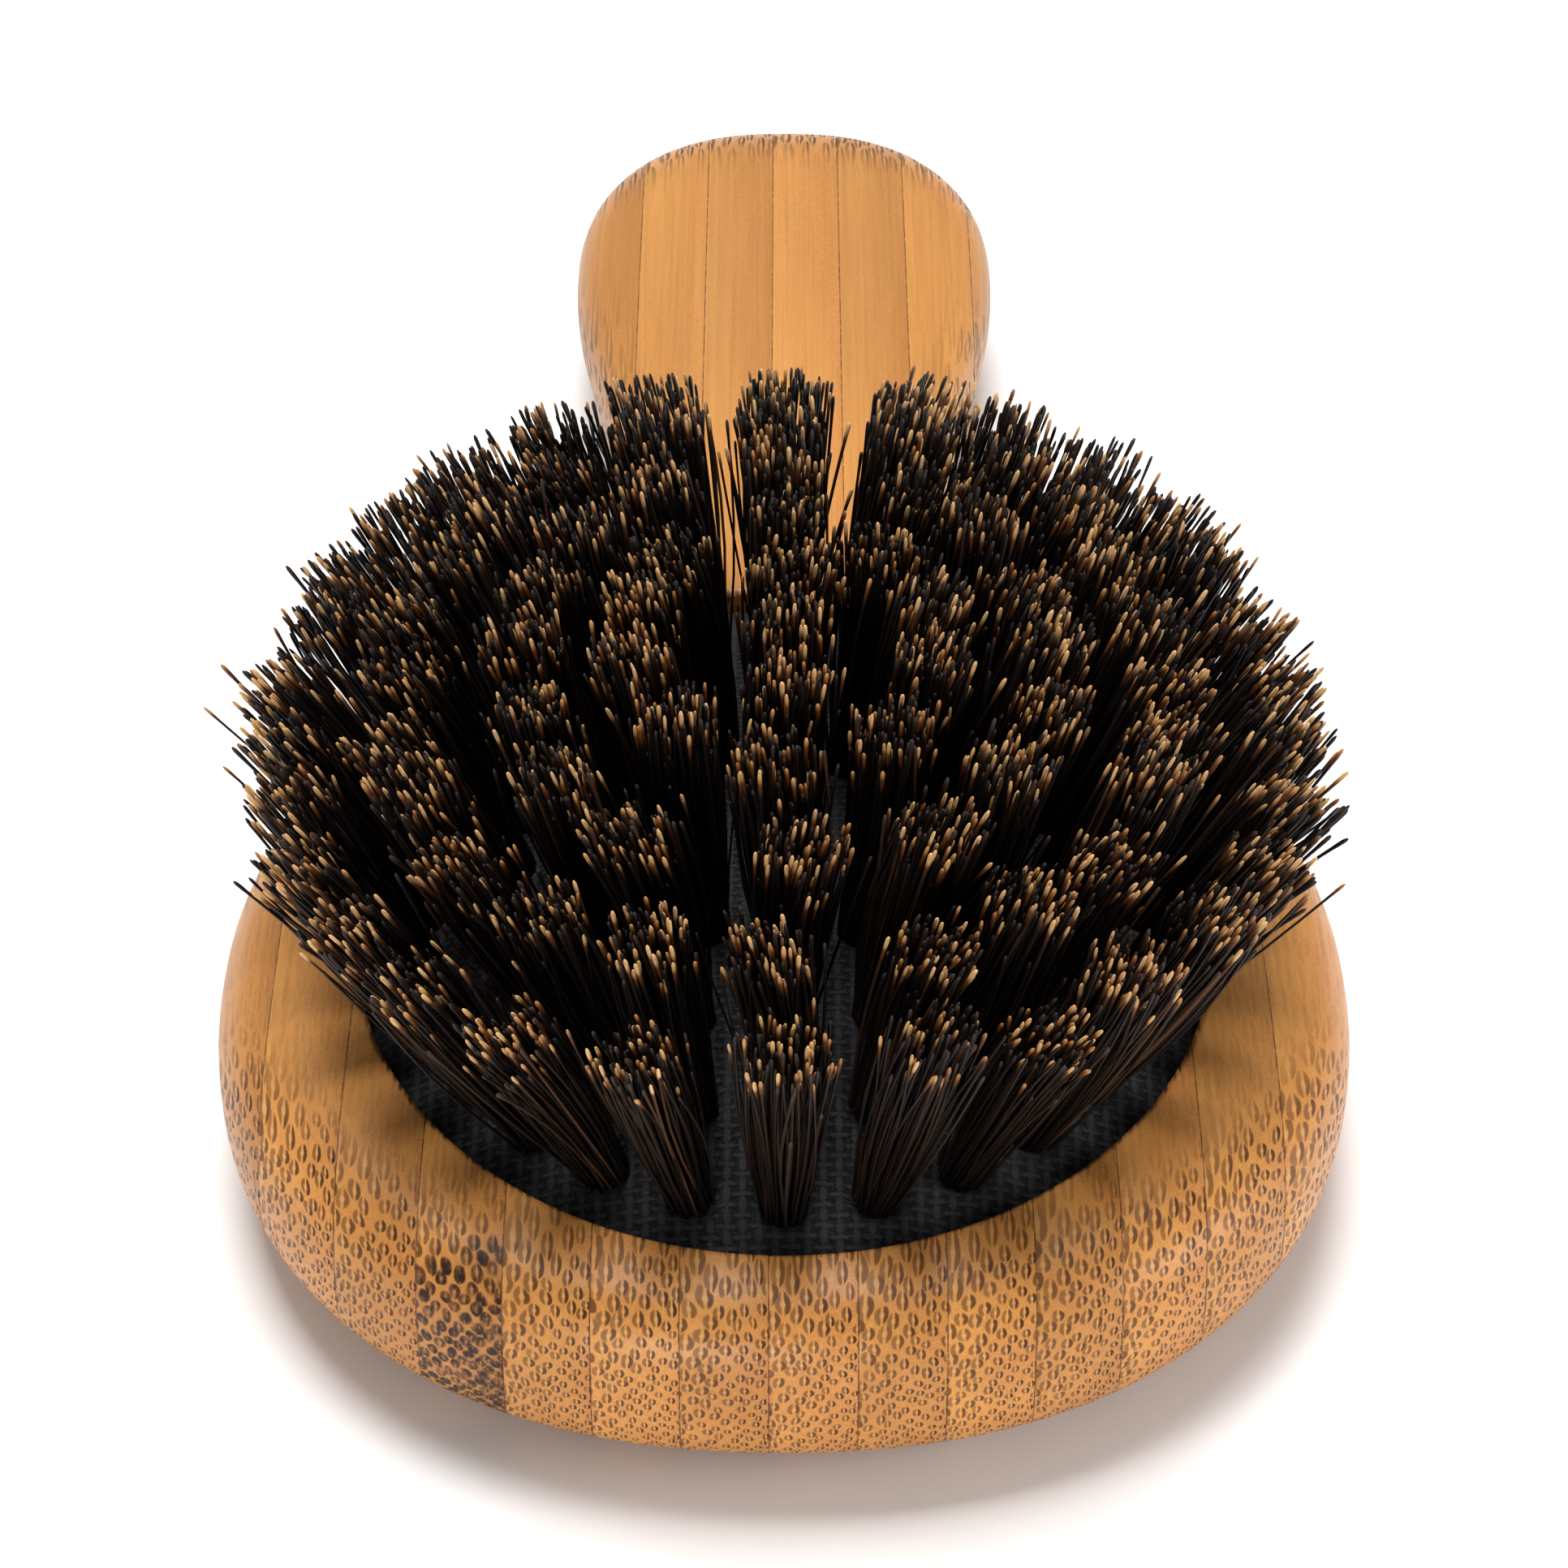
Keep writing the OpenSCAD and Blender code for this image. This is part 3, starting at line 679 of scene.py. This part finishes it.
def dome(name, rings, low_rings, around, top, bottom, shrink):
    """A closed dome over the opening: a polar grid above and a coarser one below."""
    angle = np.linspace(0, 2 * np.pi, around, endpoint=False)
    oval = on_oval(PAD_HALF_W - shrink, PAD_FRONT - shrink, PAD_REAR - shrink, angle)
    verts, faces, rims = [], [], []
    for count, height, way in ((rings, top, 1), (low_rings, bottom, -1)):
        first = sum(map(len, verts))
        r = np.linspace(1 / count, 1, count)
        x, y = (np.concatenate([[0], np.outer(r, oval[:, axis]).ravel()]) for axis in (0, 1))
        verts.append(np.stack([x, y + PAD_Y, height(x, y)], 1))
        rims.append(first + 1 + (count - 1) * around)
        for j in range(around):
            k = (j + 1) % around
            faces.append([first, first + 1 + j, first + 1 + k][::way])
            for ring in range(count - 1):
                a, b = first + 1 + ring * around, first + 1 + (ring + 1) * around
                faces.append([a + j, b + j, b + k, a + k][::way])
    a, b = rims
    faces += [[a + j, b + j, b + (j + 1) % around, a + (j + 1) % around] for j in range(around)]
    return mesh_object(name, np.concatenate(verts), faces)


def build_cushion():
    rng = np.random.default_rng(5)
    waves = [(rng.uniform(0.15, 0.6), rng.uniform(0, 2 * np.pi), rng.uniform(0, 2 * np.pi))
             for _ in range(WAVE_COUNT)]

    def cloth_top(x, y):
        z = face_z(x, y)
        near = np.min(np.hypot(x[:, None] - ALL_TUFTS[:, 0], y[:, None] - ALL_TUFTS[:, 1]), axis=1)
        # The cloth dips at each tuft's foot and swells a little round it
        z = z + RIDGE_H * np.exp(-((near - RIDGE_R) / RIDGE_W) ** 2)
        z = z - DIMPLE_H * np.exp(-((near / DIMPLE_R) ** 4))
        for k, a, b in waves:
            z = z + WAVE_H * np.sin(k * (x * np.cos(a) + y * np.sin(a)) + b)
        rim = np.hypot(x / PAD_HALF_W, y / pad_length(y))
        z = z - TUCK_H * np.clip((rim - TUCK_FROM) / (1 - TUCK_FROM), 0, 1) ** 2
        warp, weft = np.sin(np.pi * x / WARP), np.sin(np.pi * y / WEFT)
        return z + THREAD_H * np.maximum(np.abs(warp) ** 1.4, 0.9 * np.abs(weft) ** 1.4)

    # The cloth's underside lies inside the rubber, below the deepest dimple
    cloth = dome("cushion_canvas_face", 190, 10, 900, cloth_top,
                 lambda x, y: face_z(x, y) - CLOTH_T - 0.55, 0.02)
    finish_piece(cloth, "brush_back", cloth_material(), "cloth", "cushion_cloth")
    rubber = dome("cushion_rubber_body", 30, 10, 120, lambda x, y: face_z(x, y) - CLOTH_T - 0.6,
                  lambda x, y: face_z(x, y) - CLOTH_T - RUBBER_T, 0.05)
    finish_piece(rubber, "brush_back", rubber_material(), "rubber", "cushion_rubber")
    for piece in (cloth, rubber):
        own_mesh(piece)


# ---- Bristles ----
BRISTLES, SIDES = 108, 5
# Along each bristle: how far up, from root to tip, and how thick there
STATIONS = np.array([-0.06, 0.15, 0.36, 0.58, 0.76, 0.88, 0.925, 0.96, 0.985, 0.997])
STATION_R = np.array([1.0, 1.0, 1.0, 1.0, 1.0, 1.02, 1.12, 1.32, 1.28, 0.75])
GOLDEN = math.pi * (3 - math.sqrt(5))
ROOT_MARGIN = 0.1
# The tips spread past the CAD tuft's tip by this much, and by more in the rear tufts, behind this y
SPLAY, SPLAY_REAR, SPLAY_REAR_Y = 0.25, 0.8, 18
# Spreads of a tuft's sway, by its length, and of a bristle's bend and its turn round the tuft
SWAY, BEND, TURN = 0.03, 0.31, 0.2
STRAY_SHARE, STRAY_MOST = 0.06, 1.8
SHORT_SHARE, SHORT, FULL = 0.36, (0.78, 0.94), (0.925, 1.0)
# A tuft's outer bristles are shorter by the first, and the second is how far it is trimmed level
ROUNDED, LEVEL = 0.03, 0.5
BRISTLE_R = 0.075, 0.118
# Short bristles have fewer pale tips, and so do the rear tufts
SHORT_PALE, REAR_PALE, REAR_PALE_Y = 0.8, 0.85, 6


def bristle_material():
    n = Nodes("boar_bristle")
    data = n.node("ShaderNodeAttribute", {"attribute_name": "bristle"}).outputs["Color"]
    t, own, kind = n.channels(data)
    shaft = n.mix(own, (0.0035, 0.0028, 0.0028), (0.012, 0.0065, 0.0042))
    shaft = n.mix(n.span(own, 0.90, 0.98), shaft, (0.060, 0.026, 0.011))
    reach = n.math("ADD", t, n.math("MULTIPLY_ADD", own, 0.05, -0.035))
    warm = n.mix(n.span(reach, 0.87, 0.945), shaft, (0.12, 0.038, 0.009))
    pale_end = n.mix(own, (0.36, 0.145, 0.038), (0.70, 0.42, 0.18))
    dark_end = n.mix(own, (0.026, 0.010, 0.005), (0.032, 0.023, 0.018))
    pale_tip = n.mix(n.span(reach, 0.935, 0.975), warm, pale_end)
    dark_tip = n.mix(n.span(reach, 0.95, 0.995, 0.0, 0.8), shaft, dark_end)
    colour = n.mix(n.span(kind, 0.53, 0.55), dark_tip, pale_tip)
    fine = n.noise(n.position(), (12, 12, 2), 2)
    colour = n.mix(n.span(fine, 0.4, 0.7, 0.0, 0.18), colour, (0.02, 0.012, 0.008))
    return n.set(Base_Color=colour, Roughness=n.span(own, 0.0, 1.0, 0.32, 0.48), Specular_IOR_Level=0.25,
                 Normal=n.bump(fine, 0.01, 0.3))


def tuft_frame(tuft):
    """Axes of a tuft: its foot, its direction and two sideways directions."""
    x, y, lean_x, lean_y = tuft
    up = np.array([lean_x, lean_y, 1.0])
    up /= np.linalg.norm(up)
    side = np.cross([0, 1, 0], up)
    side /= np.linalg.norm(side)
    return np.array([x, y + PAD_Y, float(face_z(x, y))]), up, side, np.cross(up, side)


def direction(angle):
    return np.array([math.cos(angle), math.sin(angle)])


def add_tube(verts, faces, centres, radii, phase, side, other, end):
    """A closed tube round a line of centres, drawn to a point at its end."""
    base, rows = len(verts), len(centres)
    for centre, radius in zip(centres, radii):
        for j in range(SIDES):
            a = phase + 2 * math.pi * j / SIDES
            verts.append(centre + radius * (side * math.cos(a) + other * math.sin(a)))
    verts.append(end)
    for row in range(rows - 1):
        for j in range(SIDES):
            a, b = base + row * SIDES + j, base + row * SIDES + (j + 1) % SIDES
            faces.append((a, b, b + SIDES, a + SIDES))
    last = base + (rows - 1) * SIDES
    for j in range(SIDES):
        faces.append((last + j, last + (j + 1) % SIDES, base + rows * SIDES))
    faces.append(tuple(base + j for j in range(SIDES - 1, -1, -1)))


def build_ring(name, tufts, seed, material, node):
    rng = np.random.default_rng(seed)
    verts, faces, data = [], [], []
    for tuft in tufts:
        foot, up, side, other = tuft_frame(tuft)
        tuft_len = TUFT_L * rng.uniform(0.965, 1.0)
        sway = rng.normal(0, SWAY, 2) * TUFT_L
        twist = rng.uniform(0, 2 * np.pi)
        squeeze = rng.uniform(0.86, 1.0)
        splay = TIP_R + (SPLAY_REAR if tuft[1] > SPLAY_REAR_Y else SPLAY)
        for k in range(BRISTLES):
            share = math.sqrt((k + 0.5) / BRISTLES)
            angle = k * GOLDEN + twist
            root = share * (TUFT_R - ROOT_MARGIN) * direction(angle)
            tip_angle = angle + rng.normal(0, TURN)
            spread = splay * share * squeeze * rng.uniform(0.8, 1.15)
            if rng.random() < STRAY_SHARE:
                spread = min(spread * rng.uniform(1.3, 1.9), TIP_R + STRAY_MOST)
            tip = spread * direction(tip_angle)
            bend = rng.normal(0, BEND, 2)
            cut_short = rng.random() < SHORT_SHARE
            length = tuft_len * (1 - ROUNDED * share**2) * rng.uniform(*(SHORT if cut_short else FULL))
            # The tufts are trimmed level, so the bristles on a leaning tuft's outer side are longer
            length -= LEVEL * (side[2] * tip[0] + other[2] * tip[1]) / up[2]
            radius = rng.uniform(*BRISTLE_R)
            own, kind = rng.random(), rng.random()
            kind *= (SHORT_PALE if cut_short else 1.0) * (REAR_PALE if tuft[1] > REAR_PALE_Y else 1.0)
            phase = rng.uniform(0, 2 * np.pi)
            centres = []
            for s in STATIONS:
                u = max(s, 0)
                offset = root + (tip - root) * u**0.85 + bend * math.sin(math.pi * u) + sway * u * u
                centres.append(foot + up * (s * length) + side * offset[0] + other * offset[1])
            end = foot + up * length + side * (tip[0] + sway[0]) + other * (tip[1] + sway[1])
            add_tube(verts, faces, centres, radius * STATION_R, phase, side, other, end)
            data += [(max(0.0, s), own, kind, 1) for s in STATIONS for _ in range(SIDES)]
            data.append((1, own, kind, 1))
    obj = mesh_object(name, verts, faces)
    attribute = obj.data.color_attributes.new("bristle", "FLOAT_COLOR", "POINT")
    attribute.data.foreach_set("color", np.array(data, float).ravel())
    finish_piece(obj, "bristle_field", material, "bristle", node)


def build_bristles():
    material = bristle_material()
    names = [("outer", "tuft_ring_outer"), ("second", "tuft_ring_second"), ("third", "tuft_ring_third"),
             ("inner", "tuft_ring_inner"), ("centre", "tuft_centre_row")]
    for i, (ring, (word, node)) in enumerate(zip(RINGS, names)):
        build_ring(f"bristles_{word}", ring, 100 + i, material, node)


# ---- Tie wires: the CAD shapes, in drawn steel ----
def wire_material():
    n = Nodes("tie_wire_steel")
    draw = n.noise(n.position(), 20, 2)
    base = n.mix(draw, (0.48, 0.48, 0.50), (0.66, 0.66, 0.68))
    rough = n.span(draw, 0.3, 0.7, 0.28, 0.42)
    return n.set(Base_Color=base, Metallic=1.0, Roughness=rough, Normal=n.bump(draw, 0.01, 0.3))


def dress_wires():
    material = wire_material()
    for name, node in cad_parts.items():
        if name.startswith("tie_wires"):
            node.data.materials.clear()
            node.data.materials.append(material)
            for polygon in node.data.polygons:
                polygon.material_index = 0


# ---- Studio ----
FLOOR_HALF = 3000
SKY_STRENGTH = 0.28
AIM = Vector((0, 0.01, 0.01))
# Name, place in metres, power in watts and width in metres
LIGHTS = (
    ("key", (-0.08, 0.32, 1.18), 21.0, 0.68),
    ("fill", (0.58, -0.14, 0.16), 1.9, 0.28),
    ("front", (-0.14, -0.61, 0.13), 1.9, 0.24),
)


def build_studio():
    corners = [(x * FLOOR_HALF, y * FLOOR_HALF, 0) for x, y in ((-1, -1), (1, -1), (1, 1), (-1, 1))]
    floor = mesh_object("floor", corners, [(0, 1, 2, 3)], False)
    floor.data.materials.append(Nodes("pale_floor").set(Base_Color=(0.86, 0.86, 0.86, 1), Roughness=0.8))
    world = bpy.data.worlds.new("studio")
    world.use_nodes = True
    sky = world.node_tree.nodes["Background"]
    sky.inputs[0].default_value = (1, 1, 1, 1)
    sky.inputs[1].default_value = SKY_STRENGTH
    bpy.context.scene.world = world
    for name, place, power, size in LIGHTS:
        light = bpy.data.lights.new(name, "AREA")
        light.energy = power
        light.size = size
        obj = bpy.data.objects.new(name, light)
        obj.location = place
        obj.visible_camera = False
        obj.rotation_euler = (AIM - Vector(place)).to_track_quat("-Z", "Y").to_euler()
        bpy.context.collection.objects.link(obj)
    bpy.context.scene.view_settings.view_transform = "Standard"


build_wood()
build_cushion()
build_bristles()
dress_wires()
build_studio()
